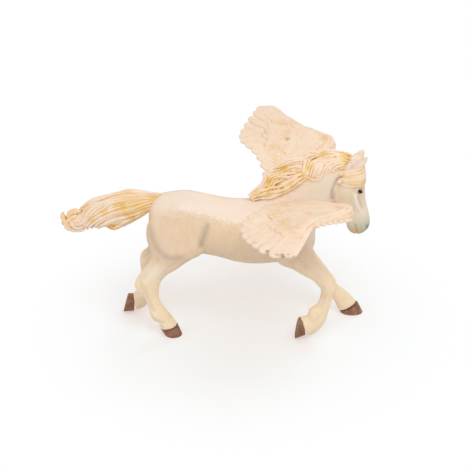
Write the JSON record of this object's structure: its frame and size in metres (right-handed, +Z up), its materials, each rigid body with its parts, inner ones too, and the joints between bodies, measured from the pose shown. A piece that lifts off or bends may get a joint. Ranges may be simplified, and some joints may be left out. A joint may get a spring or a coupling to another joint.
{
  "type": "pegasus figurine",
  "caption": "Free-standing figurine of a galloping horse with spread feathered wings, a blown-back mane and a streaming tail.",
  "frame": {"origin": "on the ground under the middle of the figurine's overall length and wing span", "axes": "+X towards the head, +Y along the wing span to the horse's left, +Z up"},
  "size_m": [0.1514, 0.1694, 0.0984],
  "materials": {
    "cream_vinyl": "hand-painted satin vinyl",
    "wing_vinyl": "hand-painted satin vinyl with an ochre wash"
  },
  "bodies": {
    "root": {"horse": "cream_vinyl", "left_wing": "wing_vinyl", "right_wing": "wing_vinyl"}
  },
  "joints": []
}
